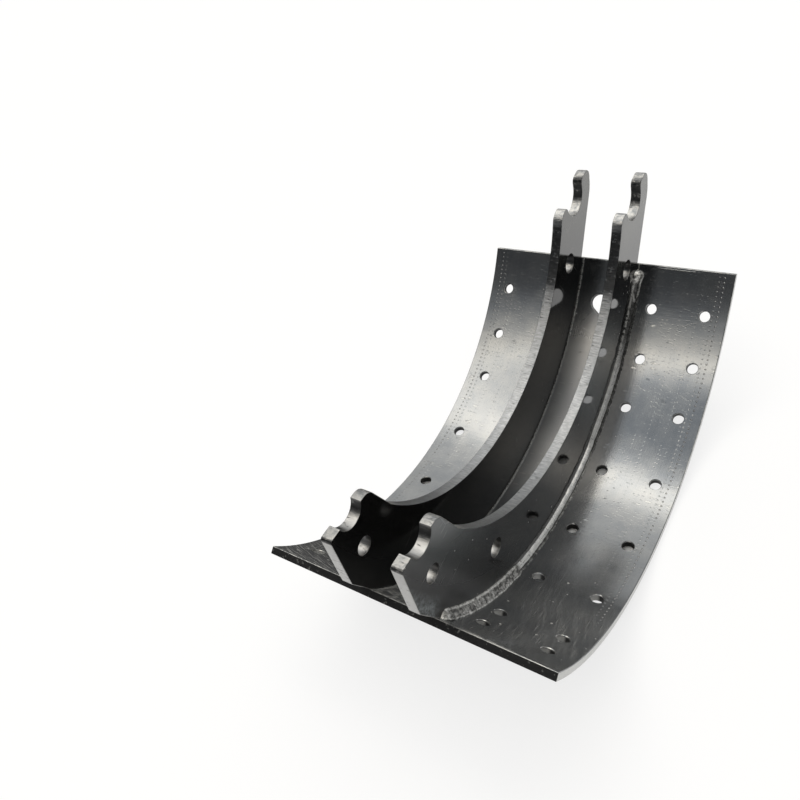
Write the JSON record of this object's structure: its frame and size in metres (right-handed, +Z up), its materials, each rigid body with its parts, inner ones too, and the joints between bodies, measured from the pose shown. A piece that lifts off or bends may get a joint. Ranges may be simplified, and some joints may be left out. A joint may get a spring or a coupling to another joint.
{
  "type": "brake shoe",
  "caption": "Curved steel brake shoe: a drilled table with upright webs welded to it, a roller notch at one end and an anchor notch at the other.",
  "frame": {"origin": "on the floor under the curved back of the table, midway across the table and midway along the webs", "axes": "+X along the drum's axis, +Y along the shoe towards the roller end, +Z up from the curved back towards the drum's axis"},
  "size_m": [0.1778, 0.3318, 0.1479],
  "materials": {
    "black_table": "satin black coating on rolled steel",
    "black_web": "glossy black coating on flat steel, pale sheared edges",
    "weld_metal": "rough grey weld under thin black coating"
  },
  "bodies": {
    "root": {"shoe_table": "black_table", "web_left": "black_web", "web_right": "black_web", "weld_bead_left": "weld_metal", "weld_bead_right": "weld_metal"}
  },
  "joints": []
}
